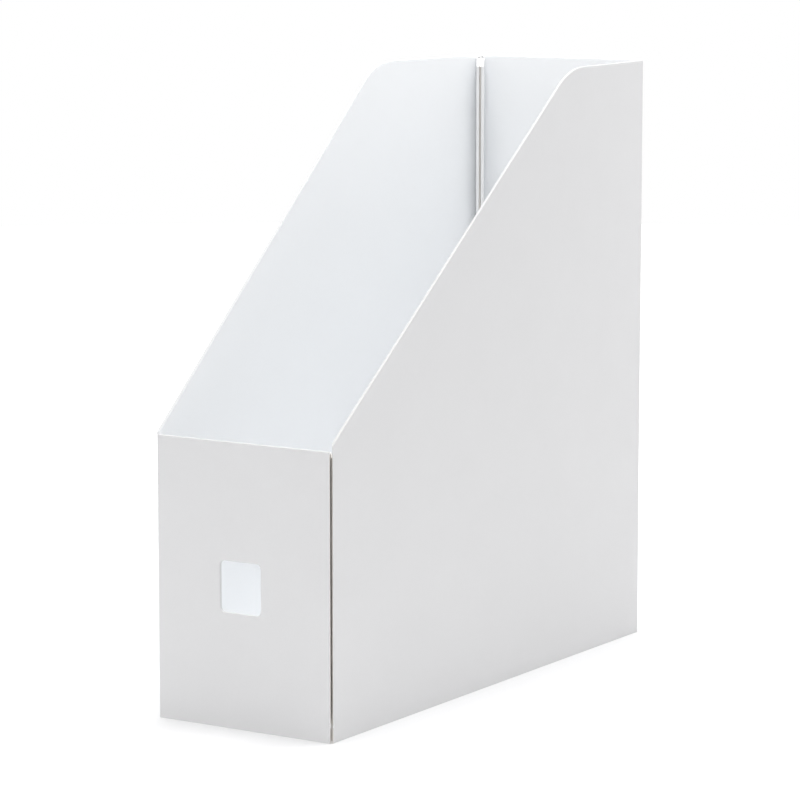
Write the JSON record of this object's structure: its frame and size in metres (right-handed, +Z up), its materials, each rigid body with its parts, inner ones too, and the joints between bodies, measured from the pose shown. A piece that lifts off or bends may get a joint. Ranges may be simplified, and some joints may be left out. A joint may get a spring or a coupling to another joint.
{
  "type": "magazine file holder",
  "caption": "Open-topped upright file of folded white board with slanted side walls, a low front wall with a finger hole, glued inward corner seams and a fold-up bottom.",
  "frame": {"origin": "middle of the footprint, on the surface the holder stands on", "axes": "+X across the spine to the right, +Y from the low front wall to the back wall, +Z up"},
  "size_m": [0.117, 0.296, 0.306],
  "materials": {
    "board": "matte white lined board",
    "adhesive": "set adhesive, satin"
  },
  "bodies": {
    "right_wall": {"right_side_panel": "board"},
    "front_seam": {"front_seam_flange_side": "board", "front_seam_flange_front": "board", "front_seam_glue": "adhesive"},
    "front_wall": {"front_panel": "board"},
    "left_wall": {"left_side_panel": "board"},
    "rear_seam": {"rear_seam_flange_side": "board", "rear_seam_flange_back": "board", "rear_seam_glue": "adhesive"},
    "back_wall": {"back_panel": "board"},
    "flap_front": {"bottom_flap_front": "board"},
    "flap_back": {"bottom_flap_back": "board"},
    "flap_right": {"bottom_flap_right": "board"},
    "flap_left": {"bottom_flap_left": "board"}
  },
  "joints": [
    {"name": "fold_flat", "type": "hinge", "parent": "right_wall", "child": "front_seam", "pos_m": [0.0484, -0.14113, 0], "axis": [0, 0, -1], "range_deg": [0, 28.5]},
    {"name": "front_seam_front_crease", "type": "hinge", "parent": "front_seam", "child": "front_wall", "pos_m": [0.04671, -0.1464, 0], "axis": [0, 0, -1], "range_deg": [0, 58.5]},
    {"name": "front_left_fold", "type": "hinge", "parent": "front_wall", "child": "left_wall", "pos_m": [-0.05, -0.148, 0], "axis": [0, 0, 1], "range_deg": [0, 87]},
    {"name": "rear_seam_side_crease", "type": "hinge", "parent": "left_wall", "child": "rear_seam", "pos_m": [-0.0484, 0.14113, 0], "axis": [0, 0, -1], "range_deg": [0, 28.5]},
    {"name": "rear_seam_back_crease", "type": "hinge", "parent": "rear_seam", "child": "back_wall", "pos_m": [-0.04671, 0.1464, 0], "axis": [0, 0, -1], "range_deg": [0, 58.5]},
    {"name": "front_flap_crease", "type": "hinge", "parent": "front_wall", "child": "flap_front", "pos_m": [0, -0.1464, 0.0016], "axis": [1, 0, 0], "range_deg": [0, 87]},
    {"name": "back_flap_crease", "type": "hinge", "parent": "back_wall", "child": "flap_back", "pos_m": [0, 0.1464, 0.0016], "axis": [-1, 0, 0], "range_deg": [0, 87]},
    {"name": "right_flap_crease", "type": "hinge", "parent": "right_wall", "child": "flap_right", "pos_m": [0.0484, 0, 0.0033], "axis": [0, 1, 0], "range_deg": [0, 87]},
    {"name": "left_flap_crease", "type": "hinge", "parent": "left_wall", "child": "flap_left", "pos_m": [-0.0484, 0, 0.005], "axis": [0, -1, 0], "range_deg": [0, 87]}
  ],
  "couplings": [
    {"joint": "front_seam_front_crease", "follows": "fold_flat", "ratio": 2.0526},
    {"joint": "front_left_fold", "follows": "fold_flat", "ratio": 3.0526},
    {"joint": "rear_seam_side_crease", "follows": "fold_flat", "ratio": 1},
    {"joint": "rear_seam_back_crease", "follows": "fold_flat", "ratio": 2.0526},
    {"joint": "front_flap_crease", "follows": "fold_flat", "ratio": 3.0526},
    {"joint": "back_flap_crease", "follows": "fold_flat", "ratio": 3.0526},
    {"joint": "right_flap_crease", "follows": "fold_flat", "ratio": 3.0526},
    {"joint": "left_flap_crease", "follows": "fold_flat", "ratio": 3.0526}
  ]
}
